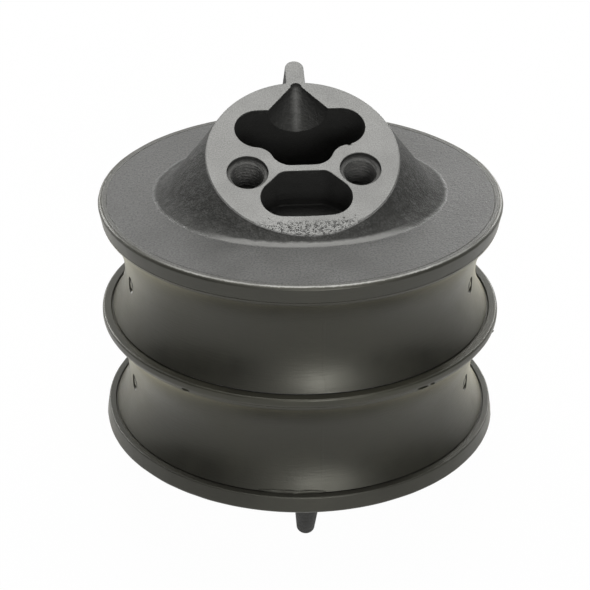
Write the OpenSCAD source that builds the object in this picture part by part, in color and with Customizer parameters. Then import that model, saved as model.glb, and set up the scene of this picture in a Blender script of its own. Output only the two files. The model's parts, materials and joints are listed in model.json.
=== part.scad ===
// Bonded rubber-metal suspension mount: two identical cast end fittings, a steel interleaf and two
// waisted rubber layers. Both mounting faces are parallel; the stack between them leans by face_tilt.
// All sizes are in millimetres. +Z is the normal of both mounting faces, +Y the side the stack leans to.

/* [Stack] */
// Diameter of the end plates over their rubber rim
plate_d = 220; // [204:1:240]
// Thickness of each end plate
end_plate_t = 9.4; // [8.6:0.1:14]
// Height of one rubber layer
rubber_h = 55.3; // [44:0.1:66]
// Thickness of the interleaf at its rim
interleaf_t = 5.8; // [4:0.1:9]
// Thickness of the rubber over the edge of the end plates
rim_cover = 3; // [2:0.1:4.5]
// Width of the lip left outside the foot of a rubber layer
lip_w = 6; // [4:0.1:8]
// Depth of the waist of a rubber layer, from the plate's edge
waist_depth = 13.2; // [10:0.1:18]
// Width of the open seam between the metal and its rubber rim
seam_w = 1.7; // [1:0.1:2.2]
// Diameter of the pin marks that the mould leaves in the waists
pin_mark_d = 11.5; // [6:0.1:14]
// Depth of the pin marks below the waist
pin_mark_depth = 4; // [2:0.5:6]

/* [Head] */
// Diameter of the machined mounting face
face_d = 103; // [96:1:108]
// Angle between the mounting face and the end plate
face_tilt = 26.5; // [20:0.5:30]
// Offset of the mounting face from the stack's axis
face_forward = 12.3; // [6:0.1:16]
// Height of the face's lowest edge above the end plate
front_edge_h = 4.3; // [3:0.1:9]
// How far the skirt's foot stands outside the face at its low edge
front_batter = 2.5; // [1:0.1:6]
// How far the skirt's foot stands outside the face at its high edge
rear_batter = 33.8; // [24:0.1:34]
// How far the skirt's foot stands outside the face at each side
side_batter = 24; // [16:0.1:28]
// Width of the toe fillet between skirt and plate
toe_w = 8; // [4:0.1:10]

/* [Tongue] */
// How far the locating tongue reaches past the face's edge
tongue_reach = 15.6; // [10:0.1:20]
// Width of the tongue's crest at its tip
tongue_w = 10.2; // [7:0.1:12]
// Width of the tongue's crest where it leaves the face
tongue_root_w = 10.8; // [8:0.1:14]
// Draft of the tongue's sides, in degrees
tongue_draft = 3; // [1:0.5:5]

/* [Tapped holes] */
// Spacing of the two tapped holes
hole_spacing = 60; // [58:0.5:64]
// Distance of the holes from the face's centre, towards its low edge
hole_offset = 9.9; // [6:0.1:11]
// Diameter of the tapped bore, the core diameter of an M20 thread
hole_d = 17.5; // [14:0.1:18]
// Diameter of the plain entry of each hole
entry_d = 22; // [19:0.1:23]
// Depth of the plain entry of each hole
entry_depth = 3; // [2:0.5:5]
// Depth of the tapped bore below the face
hole_depth = 24; // [18:0.5:24]

/* [Cored pockets] */
// Distance between the centres of the rear pocket's two lobes
lobe_spacing = 44.8; // [40:0.1:50]
// Distance of the lobes from the face's centre, towards its high edge
lobe_offset = 19.7; // [18:0.1:22]
// Radius of each lobe
lobe_r = 12.8; // [10:0.1:14]
// Width of the flat part of the rear pocket's belly
belly_w = 12; // [8:0.1:16]
// Radius of the belly's corners
belly_r = 11; // [9:0.1:12]
// Radius of the hollow throat between belly and lobe
throat_r = 10; // [7:0.1:12]
// Thickness of the web between the two pockets
pocket_web_t = 4; // [3:0.1:6]
// Distance from the face's centre to the middle of the web
web_offset = 7.9; // [7:0.1:9]
// Width of the flat part of the front pocket's low edge
heel_w = 22.8; // [18:0.1:26]
// Radius of the front pocket's low corners
heel_r = 13; // [10:0.1:14]
// Distance from the face's centre to the front pocket's low edge
heel_reach = 40; // [37:0.1:41]
// Width of the flat part of the front pocket's high edge
brow_w = 19; // [14:0.1:20]
// Radius of the front pocket's high corners
brow_r = 6.5; // [5:0.1:7]
// Metal left between the chute's start and the face's edge
chute_edge_t = 1.9; // [1.2:0.1:4]
// Radius of the chute's narrow end
chute_end_r = 3; // [2:0.1:5]
// Metal left between the pocket floors and the rubber
pocket_floor_t = 5.4; // [4:0.1:6]
// Half angle of the conical chute behind the rear pocket
chute_half_angle = 40; // [34:1:42]
// Angle of the chute's axis below the face
chute_pitch = 5; // [0:1:8]

/* [Hidden] */
$fn = 96;
e = 0.01;
plate_r = plate_d / 2;
metal_r = plate_r - rim_cover;
crease_r = plate_r - lip_w;
core_r = crease_r - 1;
waist_r = plate_r - waist_depth;
skin_t = 1;                         // rubber skin over the bonded edge of each plate
stock_t = 3;                        // stock on the rough casting above its machined face
arc_lap = 0.04;
rim_taper = 1.2;                    // the rims' outer faces lean in by this much
stack_h = 2 * end_plate_t + 2 * rubber_h + interleaf_t;
layer_top_r = plate_r - 1.6;        // a layer starts almost flush under the disc above it
mould_turn = -4.5;                  // the mould's joint stands this far round from the castings
pin_angles = [-85.5, -71, 71, 85.5]; // mould pins, from the mould's front joint

// the waist is one arc: it passes the foot and the top of the layer and reaches in to waist_r
bow_foot = crease_r - waist_r;
bow_top = layer_top_r - waist_r;
waist_z = rubber_h * sqrt(bow_foot) / (sqrt(bow_foot) + sqrt(bow_top));
waist_bow_r = (waist_z * waist_z + bow_foot * bow_foot) / (2 * bow_foot);

face_r = face_d / 2;
face_z = front_edge_h + face_r * sin(face_tilt);   // face centre above the plate
foot_front = face_forward + face_r * cos(face_tilt) + front_batter;
foot_rear = face_r * cos(face_tilt) - face_forward + rear_batter;
foot_half_y = (foot_front + foot_rear) / 2;
foot_half_x = face_r + side_batter;
foot_y = (foot_rear - foot_front) / 2;

lobe = [lobe_spacing / 2, lobe_offset];
belly = [belly_w / 2, pocket_web_t / 2 - web_offset + belly_r];
heel = [heel_w / 2, heel_r - heel_reach];
brow = [brow_w / 2, -web_offset - pocket_web_t / 2 - brow_r];
chute_start = face_r - chute_edge_t;

// the lower face's centre is the origin: where the stack's centre then lies
centre_y = (stack_h / 2 + face_z) * sin(face_tilt) - face_forward * cos(face_tilt);
centre_z = (stack_h / 2 + face_z) * cos(face_tilt) + face_forward * sin(face_tilt);

// the centre of a circle of radius r that touches two circles from outside, to the right of the way p to q;
// it laps over each by arc_lap, so that the arcs cross cleanly
function touching(p, pr, q, qr, r) =
    let (d = norm(q - p), u = (q - p) / d, a = pr + r - arc_lap, b = qr + r - arc_lap,
         along = (a * a - b * b + d * d) / (2 * d), aside = sqrt(a * a - along * along))
    p + along * u + aside * [u[1], -u[0]];

// skirt: points at angle a round the head, from the toe on the plate up to the edge of the face
function foot_point(a) = [foot_half_x * cos(a), foot_y + foot_half_y * sin(a), 0];
function toe_point(a) =
    let (n = [cos(a) / foot_half_x, sin(a) / foot_half_y])
    foot_point(a) + toe_w * [n[0], n[1], 0] / norm(n) - [0, 0, 0.5];
function rim_point(a) =
    [0, -face_forward, face_z] + face_r * [cos(a), sin(a) * cos(face_tilt), sin(a) * sin(face_tilt)];
function bend_point(a) =
    let (f = foot_point(a), g = rim_point(a))
    f + (g - f) * min(0.55, 1.1 * toe_w / norm(g - f));
function toe_curve(a, t) =
    (1 - t) * (1 - t) * toe_point(a) + 2 * t * (1 - t) * foot_point(a) + t * t * bend_point(a);
// the flank is carried past the face by stock_t, which the facing cut takes off
function stock_point(a) =
    let (b = bend_point(a), g = rim_point(a)) g + (g - b) / norm(g - b) * stock_t;
function flank(a, s) = s < 1 ? toe_curve(a, s) : stock_point(a);

// places its children in the frame of the stack, whose centre is their origin
module in_stack() {
    translate([0, centre_y, centre_z]) rotate([-face_tilt, 0, 0]) children();
}

// places its children on the mounting face of a casting: X across, Y up the face, Z out of it
module on_face() {
    translate([0, -face_forward, face_z]) rotate([face_tilt, 0, 0]) children();
}

module upper_end() {
    in_stack() translate([0, 0, stack_h / 2]) children();
}

// the lower end is the upper one turned by half a turn about the axis across the stack
module lower_end() {
    in_stack() rotate([180, 0, 0]) translate([0, 0, stack_h / 2]) children();
}

// the flank of the head, lofted from an oval foot on the plate to the round tilted face
module skirt() {
    around = 72;
    steps = [0, 0.16, 0.33, 0.5, 0.67, 0.84, 0.999, 1];
    rings = len(steps);
    sunk = [for (j = [0 : around - 1]) toe_point(360 * j / around) - [0, 0, 1.5]];
    shell = [for (i = [0 : rings - 1], j = [0 : around - 1]) flank(360 * j / around, steps[i])];
    points = concat(sunk, shell);
    polyhedron(points, concat(
        [[for (j = [0 : around - 1]) j]],
        [for (i = [0 : rings - 1], j = [0 : around - 1])
            let (a = i * around + j, b = i * around + (j + 1) % around) [a, a + around, b]],
        [for (i = [0 : rings - 1], j = [0 : around - 1])
            let (a = i * around + j, b = i * around + (j + 1) % around) [b, a + around, b + around]],
        [[for (j = [around - 1 : -1 : 0]) rings * around + j]]), convexity = 4);
}

// locating tongue: its crest lies in the plane of the face, and it runs down to the plate as a rib
module tongue() {
    drop = 2 * face_z + 40;
    flare = tan(tongue_draft);
    intersection() {
        on_face() hull()
            for (post = [[face_r + tongue_reach - tongue_w / 2, tongue_w], [face_r * 0.6, tongue_root_w]])
                translate([0, post[0], -drop])
                    cylinder(r1 = post[1] / 2 + drop * flare, r2 = post[1] / 2 - stock_t * flare,
                             h = drop + stock_t, $fn = 32);
        translate([-plate_r, -plate_r, -2]) cube([plate_d, plate_d, 2 * face_z + 60]);
    }
}

// the facing cut that machines the mounting face and the tongue's crest in one plane
module facing_cut() {
    on_face() translate([-plate_r, -plate_r, 0]) cube([plate_d, plate_d, 30]);
}

// outline of the rear pocket: two lobes joined by a belly, with hollow throats between them
module rear_outline() {
    for (m = [0, 1]) mirror([m, 0]) {
        throat = touching(belly, belly_r, lobe, lobe_r, throat_r);
        translate(lobe) circle(lobe_r);
        translate(belly) circle(belly_r);
        difference() {
            polygon([belly, lobe, throat]);
            translate(throat) circle(throat_r);
        }
        polygon([[-e, lobe[1] + lobe_r], lobe + [0, lobe_r], lobe, belly, belly - [0, belly_r],
                 [-e, belly[1] - belly_r]]);
    }
}

// point where the straight side between brow and heel leaves a circle of radius r about c; it lies
// arc_lap inside the circle, so that the side and the arc cross cleanly
function side_point(c, r) =
    let (d = heel - brow, l = norm(d), t = atan2(d[1], d[0]) + acos((brow_r - heel_r) / l))
    c + (r - arc_lap) * [cos(t), sin(t)];

// outline of the front pocket: wide heels at the low edge, narrowing straight to a brow beside the holes
module front_outline() {
    for (m = [0, 1]) mirror([m, 0]) {
        translate(heel) circle(heel_r);
        translate(brow) circle(brow_r);
        polygon([[-e, brow[1] + brow_r], brow + [0, brow_r], side_point(brow, brow_r),
                 side_point(heel, heel_r), heel, heel - [0, heel_r], [-e, heel[1] - heel_r]]);
    }
}

// both pockets run in at right angles to the face, down to a floor that is parallel to the plate
module pockets() {
    intersection() {
        on_face() translate([0, 0, -3 * face_z]) {
            linear_extrude(3 * face_z + 5) rear_outline();
            linear_extrude(3 * face_z + 5) front_outline();
        }
        translate([-plate_r, -plate_r, pocket_floor_t - end_plate_t])
            cube([plate_d, plate_d, 3 * face_z + 60]);
    }
}

// conical chute that leads from the tongue into the rear pocket
module chute() {
    run = chute_start - lobe[1] - lobe_r + 4;
    on_face() translate([0, chute_start, 0]) rotate([90 + chute_pitch, 0, 0])
        cylinder(r1 = chute_end_r, r2 = chute_end_r + run * tan(chute_half_angle), h = run);
}

module tapped_holes() {
    chisel_r = 0.5;
    point_h = (hole_d / 2 - chisel_r) / tan(59);
    on_face() for (x = [-1, 1]) translate([x * hole_spacing / 2, -hole_offset, 0])
        rotate_extrude() polygon([
            [0, -hole_depth - point_h], [chisel_r, -hole_depth - point_h], [hole_d / 2, -hole_depth],
            [hole_d / 2, -entry_depth], [entry_d / 2, -entry_depth], [entry_d / 2, 5], [0, 5]]);
}

// end casting, with its plate's outer face at z = 0 and the rubber below
module casting() {
    difference() {
        union() {
            rotate_extrude() polygon([
                [0, -end_plate_t], [core_r, -end_plate_t], [core_r, skin_t - end_plate_t],
                [metal_r, skin_t - end_plate_t], [metal_r, -seam_w], [metal_r - seam_w, -seam_w],
                [metal_r - seam_w, -0.5], [metal_r - seam_w - 0.5, 0], [0, 0]]);
            difference() {
                union() {
                    skirt();
                    tongue();
                }
                facing_cut();
            }
        }
        pockets();
        chute();
        tapped_holes();
    }
}

// rubber rim moulded round the edge of an end plate
module rim_ring() {
    rotate_extrude() polygon([
        [core_r, -end_plate_t], [plate_r - rim_taper, -end_plate_t],
        [plate_r - rim_taper + 0.5, 0.6 - end_plate_t],
        [plate_r, -0.8], [plate_r - 0.8, 0], [metal_r, 0], [metal_r, skin_t - end_plate_t],
        [core_r, skin_t - end_plate_t]]);
}

// waisted rubber layer, standing on z = 0
module rubber_layer() {
    difference() {
        rotate_extrude() difference() {
            square([layer_top_r, rubber_h]);
            translate([waist_r + waist_bow_r, waist_z]) circle(waist_bow_r, $fn = 128);
        }
        for (a = pin_angles) rotate([0, 0, a + mould_turn - 90])
            translate([waist_r - pin_mark_depth, 0, waist_z]) rotate([0, 90, 0])
                cylinder(d = pin_mark_d, h = waist_depth);
    }
}

module lower_casting() {
    color([0.42, 0.42, 0.4]) lower_end() casting();
}

module lower_rim_cover() {
    color([0.15, 0.15, 0.14]) lower_end() rim_ring();
}

module lower_rubber() {
    color([0.2, 0.2, 0.18]) in_stack() translate([0, 0, end_plate_t - stack_h / 2]) rubber_layer();
}

module interleaf_plate() {
    color([0.5, 0.5, 0.5]) in_stack() translate([0, 0, -interleaf_t / 2])
        cylinder(r = core_r, h = interleaf_t);
}

// rubber round the edge of the interleaf, with rounded corners
module interleaf_cover() {
    edge = interleaf_t / 5;
    color([0.15, 0.15, 0.14]) in_stack() rotate_extrude() {
        translate([core_r, -interleaf_t / 2]) square([plate_r - core_r - edge, interleaf_t]);
        translate([core_r, edge - interleaf_t / 2]) square([plate_r - core_r, interleaf_t - 2 * edge]);
        for (z = [-1, 1]) translate([plate_r - edge, z * (interleaf_t / 2 - edge)]) circle(edge, $fn = 24);
    }
}

module upper_rubber() {
    color([0.2, 0.2, 0.18]) in_stack() translate([0, 0, interleaf_t / 2]) rubber_layer();
}

module upper_casting() {
    color([0.42, 0.42, 0.4]) upper_end() casting();
}

module upper_rim_cover() {
    color([0.15, 0.15, 0.14]) upper_end() rim_ring();
}

lower_casting();
lower_rim_cover();
lower_rubber();
interleaf_plate();
interleaf_cover();
upper_rubber();
upper_casting();
upper_rim_cover();
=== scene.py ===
"""Studio scene of a bonded rubber-metal suspension mount.

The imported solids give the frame. The classes below model what shows: two cast end fittings with machined,
tapped faces, two waisted rubber layers, the rubber over the edges of the three plates, and the marks that
moulding and casting leave.
"""

import json
import logging
import math
import random
from collections.abc import Callable, Sequence
from dataclasses import dataclass
from enum import Enum

import bpy
from mathutils import Matrix, Vector, noise

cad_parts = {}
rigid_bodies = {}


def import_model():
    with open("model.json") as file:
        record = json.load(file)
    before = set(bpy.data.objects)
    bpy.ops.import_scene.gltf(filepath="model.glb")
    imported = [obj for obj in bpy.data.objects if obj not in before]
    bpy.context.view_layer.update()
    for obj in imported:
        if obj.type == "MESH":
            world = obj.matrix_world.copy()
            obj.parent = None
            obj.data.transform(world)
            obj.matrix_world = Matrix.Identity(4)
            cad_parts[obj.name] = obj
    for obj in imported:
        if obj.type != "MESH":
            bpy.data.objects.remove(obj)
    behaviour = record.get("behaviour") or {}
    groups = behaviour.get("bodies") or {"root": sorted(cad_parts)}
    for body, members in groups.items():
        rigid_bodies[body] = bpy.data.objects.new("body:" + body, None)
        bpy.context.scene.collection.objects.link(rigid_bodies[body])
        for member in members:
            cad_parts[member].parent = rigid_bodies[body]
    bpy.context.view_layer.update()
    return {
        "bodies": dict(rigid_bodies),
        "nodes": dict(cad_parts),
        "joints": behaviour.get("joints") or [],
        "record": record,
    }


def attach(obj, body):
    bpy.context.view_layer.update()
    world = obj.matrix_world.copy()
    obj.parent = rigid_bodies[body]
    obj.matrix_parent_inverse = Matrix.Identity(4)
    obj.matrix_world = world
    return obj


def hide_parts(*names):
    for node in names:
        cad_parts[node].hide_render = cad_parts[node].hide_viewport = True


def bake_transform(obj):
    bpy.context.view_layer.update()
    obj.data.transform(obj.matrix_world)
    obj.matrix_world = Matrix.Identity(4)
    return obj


log = logging.getLogger("suspension_mount")

MM = 0.001
TURN_STEPS = 240
WHITE = (1.0, 1.0, 1.0, 1.0)
Pair = tuple[float, float]
Triple = tuple[float, float, float]
Colour = tuple[float, float, float, float]
Socket = bpy.types.NodeSocket
Value = bpy.types.NodeSocket | float
Coat = tuple[bpy.types.NodeSocket, bpy.types.NodeSocket]
Piece = bpy.types.Object


class Side(Enum):
    """Which end of the mount a piece belongs to."""

    LOWER = "lower"
    UPPER = "upper"


@dataclass(frozen=True)
class Stack:
    """Sizes of the stack in metres, and where its own frame lies in the row frame."""

    plate_r: float = 110 * MM
    half_h: float = 67.6 * MM
    end_plate_t: float = 9.4 * MM
    rubber_h: float = 55.3 * MM
    interleaf_t: float = 5.8 * MM
    metal_r: float = 107 * MM
    seam_w: float = 1.7 * MM
    skin_t: float = 1 * MM
    crease_r: float = 104 * MM
    core_r: float = 103 * MM
    waist_r: float = 96.8 * MM
    layer_top_r: float = 108.4 * MM
    mould_turn: float = math.radians(-4.5)
    joint_turn: float = math.radians(2)
    tilt: float = math.radians(26.5)
    centre: Triple = (0.0, 31.327 * MM, 90.399 * MM)

    def to_row(self) -> Matrix:
        """Returns: the matrix from the stack's frame to the row frame."""
        return Matrix.Translation(self.centre) @ Matrix.Rotation(-self.tilt, 4, "X")

    def turned(self, angle: float) -> Matrix:
        """Returns: the matrix to the row frame from the stack's frame turned by an angle round its axis."""
        return self.to_row() @ Matrix.Rotation(angle, 4, "Z")

    def end_to_row(self, side: Side) -> Matrix:
        """Returns: the matrix to the row frame from an end's, where the plate's outer face is at z = 0."""
        turn = Matrix.Rotation(math.pi if side is Side.LOWER else 0.0, 4, "X")
        return self.to_row() @ turn @ Matrix.Translation((0, 0, self.half_h))


STACK = Stack()


@dataclass(frozen=True)
class Face:
    """The machined mounting face of an end casting and its two tapped holes, in metres."""

    radius: float = 51.5 * MM
    tilt: float = STACK.tilt
    forward: float = 12.3 * MM
    front_height: float = 4.3 * MM
    height: float = front_height + radius * math.sin(tilt)
    hole_spacing: float = 60 * MM
    hole_offset: float = 9.9 * MM
    entry_r: float = 11 * MM

    def to_end(self) -> Matrix:
        """Returns: the matrix from the face's frame to the casting's frame."""
        return Matrix.Translation((0, -self.forward, self.height)) @ Matrix.Rotation(self.tilt, 4, "X")


FACE = Face()


# ---------------------------------------------------------------------------------------------- materials


class NodeSheet:
    """A node tree, with short calls for the nodes that the finishes and the room use."""

    def __init__(self, tree: bpy.types.NodeTree) -> None:
        """Takes a tree to work on.

        Args:
            tree: the node tree.
        """
        self.tree = tree

    def feed(self, socket: Socket, value: object) -> None:
        """Links a socket to a value that is a socket itself, or sets the value on it.

        Args:
            socket: the input socket.
            value: an output socket, or a constant.
        """
        if isinstance(value, bpy.types.NodeSocket):
            self.tree.links.new(value, socket)
        else:
            socket.default_value = value

    def add(self, kind: str, *inputs: object, **values: object) -> bpy.types.Node:
        """Adds a node, sets its properties and feeds its inputs.

        Args:
            kind: the node's type name.
            inputs: what its first inputs take, in order.
            values: properties, or inputs by name with underscores for spaces.

        Returns:
            The node.
        """
        node = self.tree.nodes.new(kind)
        for key, value in values.items():
            if hasattr(node, key):
                setattr(node, key, value)
            else:
                self.feed(node.inputs[key.replace("_", " ")], value)
        for socket, value in zip(node.inputs, inputs):
            self.feed(socket, value)
        return node

    def noise(self, vector: Socket, scale: float, detail: float, rough: float) -> Socket:
        """Adds a noise texture.

        Args:
            vector: the coordinates.
            scale: its scale.
            detail: its detail.
            rough: its roughness.

        Returns:
            The factor socket.
        """
        node = self.add("ShaderNodeTexNoise", Vector=vector, Scale=scale, Detail=detail, Roughness=rough)
        return node.outputs["Fac"]

    def ramp(self, source: Socket, low: float, high: float, to_low: float = 0.0, to_high: float = 1.0) -> Socket:
        """Maps a range of a value smoothly to another.

        Args:
            source: the value.
            low: where the result starts.
            high: where it ends.
            to_low: the result at low.
            to_high: the result at high.

        Returns:
            The result socket.
        """
        node = self.add("ShaderNodeMapRange", interpolation_type="SMOOTHSTEP", Value=source, From_Min=low,
                        From_Max=high, To_Min=to_low, To_Max=to_high)
        return node.outputs["Result"]

    def fall(self, source: Socket, low: float, high: float) -> Socket:
        """Returns: 1 where the source is under low, smoothly down to 0 where it is over high."""
        return self.ramp(source, low, high, 1.0, 0.0)

    def maths(self, operation: str, a: Value, b: Value = 0.0, clamp: bool = False) -> Socket:
        """Adds a Math node.

        Args:
            operation: its operation.
            a: the first value.
            b: the second value.
            clamp: whether the result is held between 0 and 1.

        Returns:
            The result socket.
        """
        return self.add("ShaderNodeMath", a, b, operation=operation, use_clamp=clamp).outputs[0]

    def plus(self, a: Value, b: Value) -> Socket:
        """Returns: the sum."""
        return self.maths("ADD", a, b)

    def minus(self, a: Value, b: Value, clamp: bool = False) -> Socket:
        """Returns: a less b, held between 0 and 1 if clamp is set."""
        return self.maths("SUBTRACT", a, b, clamp)

    def times(self, product: Socket, *factors: Value) -> Socket:
        """Multiplies values.

        Args:
            product: the first value.
            factors: the others.

        Returns:
            The result socket.
        """
        for factor in factors:
            product = self.maths("MULTIPLY", product, factor)
        return product

    def span(self, x: Socket, y: Socket) -> Socket:
        """Returns: the length of the flat vector (x, y)."""
        flat = self.add("ShaderNodeCombineXYZ", x, y).outputs[0]
        return self.add("ShaderNodeVectorMath", flat, operation="LENGTH").outputs["Value"]

    def split(self, vector: Socket) -> list[Socket]:
        """Returns: the X, Y and Z sockets of a vector."""
        return list(self.add("ShaderNodeSeparateXYZ", vector).outputs)

    def blend(self, factor: Socket, a: Socket | Colour, b: Socket | Colour) -> Socket:
        """Mixes two colours.

        Args:
            factor: how much of b shows.
            a: the first colour or socket.
            b: the second colour or socket.

        Returns:
            The colour socket.
        """
        node = self.add("ShaderNodeMix", data_type="RGBA")
        for index, value in ((0, factor), (6, a), (7, b)):
            self.feed(node.inputs[index], value)
        return node.outputs[2]

    def bump(self, height: Socket, strength: float, distance: float, **onto: Socket) -> Socket:
        """Adds a Bump node.

        Args:
            height: the height.
            strength: its strength.
            distance: its distance in metres.
            onto: Normal, where it builds on another bump.

        Returns:
            The normal socket.
        """
        node = self.add("ShaderNodeBump", Height=height, Strength=strength, Distance=distance, **onto)
        return node.outputs["Normal"]

    def group(self, tree: bpy.types.NodeTree, **values: object) -> dict[str, Socket]:
        """Places a shared node group.

        Args:
            tree: the group.
            values: what its inputs take, by name.

        Returns:
            Its outputs by name.
        """
        node = self.add("ShaderNodeGroup", node_tree=tree, **values)
        return {socket.name: socket for socket in node.outputs}


class GroupSheet(NodeSheet):
    """The tree of a shared node group, between its entry and its exit."""

    def __init__(self, name: str, inputs: dict[str, str], outputs: dict[str, str]) -> None:
        """Makes a group with its sockets.

        Args:
            name: its name.
            inputs: the kind of each input by name: Vector, Float or Color.
            outputs: the kind of each output by name.
        """
        super().__init__(bpy.data.node_groups.new(name, "ShaderNodeTree"))
        for way, sockets in (("INPUT", inputs), ("OUTPUT", outputs)):
            for socket, kind in sockets.items():
                self.tree.interface.new_socket(socket, in_out=way, socket_type=f"NodeSocket{kind}")
        self.entry, self.exit = self.add("NodeGroupInput"), self.add("NodeGroupOutput")

    def put_out(self, **values: Socket) -> bpy.types.NodeTree:
        """Feeds the group's outputs.

        Args:
            values: what each output takes, by name.

        Returns:
            The group.
        """
        for key, value in values.items():
            self.feed(self.exit.inputs[key], value)
        return self.tree


class ShaderSheet(NodeSheet):
    """A material's node tree and its Principled shader."""

    def __init__(self, name: str) -> None:
        """Makes a node material.

        Args:
            name: the material's name.
        """
        self.material = bpy.data.materials.new(name)
        self.material.use_nodes = True
        super().__init__(self.material.node_tree)
        self.shader = self.tree.nodes["Principled BSDF"]

    def local(self, matrix: Matrix) -> Socket:
        """Gives Object coordinates in another frame.

        Args:
            matrix: the frame's matrix to the row frame.

        Returns:
            The vector socket.
        """
        back = matrix.inverted()
        coord = self.add("ShaderNodeTexCoord").outputs["Object"]
        mapping = self.add("ShaderNodeMapping", vector_type="POINT", Vector=coord,
                           Location=back.to_translation(), Rotation=back.to_euler())
        return mapping.outputs["Vector"]

    def finish(self, **values: object) -> bpy.types.Material:
        """Feeds the shader.

        Args:
            values: what its inputs take, by name with underscores for spaces.

        Returns:
            The material.
        """
        for key, value in values.items():
            self.feed(self.shader.inputs[key.replace("_", " ")], value)
        return self.material


def grey(level: float, warmth: float = 0.0) -> Colour:
    """Gives a linear grey.

    Args:
        level: its lightness.
        warmth: how far it leans to olive.

    Returns:
        The colour.
    """
    return (level * (1 + warmth * 0.35), level * (1 + warmth * 0.2), level * (1 - warmth), 1.0)


class SkinGroups:
    """Node groups that several finishes share: sand-cast grain, moulded skin and thin primer."""

    def __init__(self) -> None:
        """Builds the groups."""
        self.sand = self.grain("sand_cast_grain", coarse=260.0, fine=900.0, patch=38.0)
        self.moulded = self.grain("moulded_skin", coarse=120.0, fine=1400.0, patch=24.0)
        self.primer = self.thin_primer()

    @staticmethod
    def grain(name: str, coarse: float, fine: float, patch: float) -> bpy.types.NodeTree:
        """Builds a group that puts out a height, a speckle, patches, and streaks round the Z axis.

        Args:
            name: its name.
            coarse: scale of the coarse grain.
            fine: scale of the fine grain.
            patch: scale of the patches.

        Returns:
            The group.
        """
        sheet = GroupSheet(name, {"Vector": "Vector", "Grain": "Float"},
                           dict.fromkeys(("Height", "Speck", "Patch", "Streak"), "Float"))
        entry = sheet.entry.outputs
        scaled = sheet.add("ShaderNodeVectorMath", entry["Vector"], operation="SCALE", Scale=entry["Grain"])
        at = scaled.outputs[0]
        lumps, specks = sheet.noise(at, coarse, 3.0, 0.6), sheet.noise(at, fine, 3.0, 0.6)
        squeezed = sheet.add("ShaderNodeVectorMath", at, (0.06, 0.06, 1.0), operation="MULTIPLY").outputs[0]
        return sheet.put_out(Height=sheet.plus(sheet.times(lumps, 0.55), sheet.times(specks, 0.45)), Speck=specks,
                             Patch=sheet.noise(at, patch, 4.0, 0.6), Streak=sheet.noise(squeezed, fine, 2.0, 0.5))

    @staticmethod
    def thin_primer() -> bpy.types.NodeTree:
        """Builds the group that mottles primer: dark to light by patches, with flecks where the speckle is low.

        Returns:
            The group.
        """
        sheet = GroupSheet("thin_primer", {"Patch": "Float", "Speck": "Float", "Dark": "Color", "Light": "Color",
                                           "Fleck": "Color"}, {"Colour": "Color"})
        entry = sheet.entry.outputs
        base = sheet.blend(sheet.ramp(entry["Patch"], 0.32, 0.68), entry["Dark"], entry["Light"])
        flecks = sheet.ramp(entry["Speck"], 0.4, 0.56, 0.75, 0.0)
        return sheet.put_out(Colour=sheet.blend(flecks, base, entry["Fleck"]))

    def primed(self, sheet: ShaderSheet, skin: dict[str, Socket], level: float) -> Socket:
        """Places the primer in a material.

        Args:
            sheet: the material's sheet.
            skin: the outputs of its sand-cast grain.
            level: the primer's brightness.

        Returns:
            The colour socket.
        """
        return sheet.group(self.primer, Patch=skin["Patch"], Speck=skin["Speck"], Dark=grey(level * 0.84, 0.03),
                           Light=grey(level * 1.12, 0.02), Fleck=grey(level * 0.35, 0.02))["Colour"]


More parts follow.
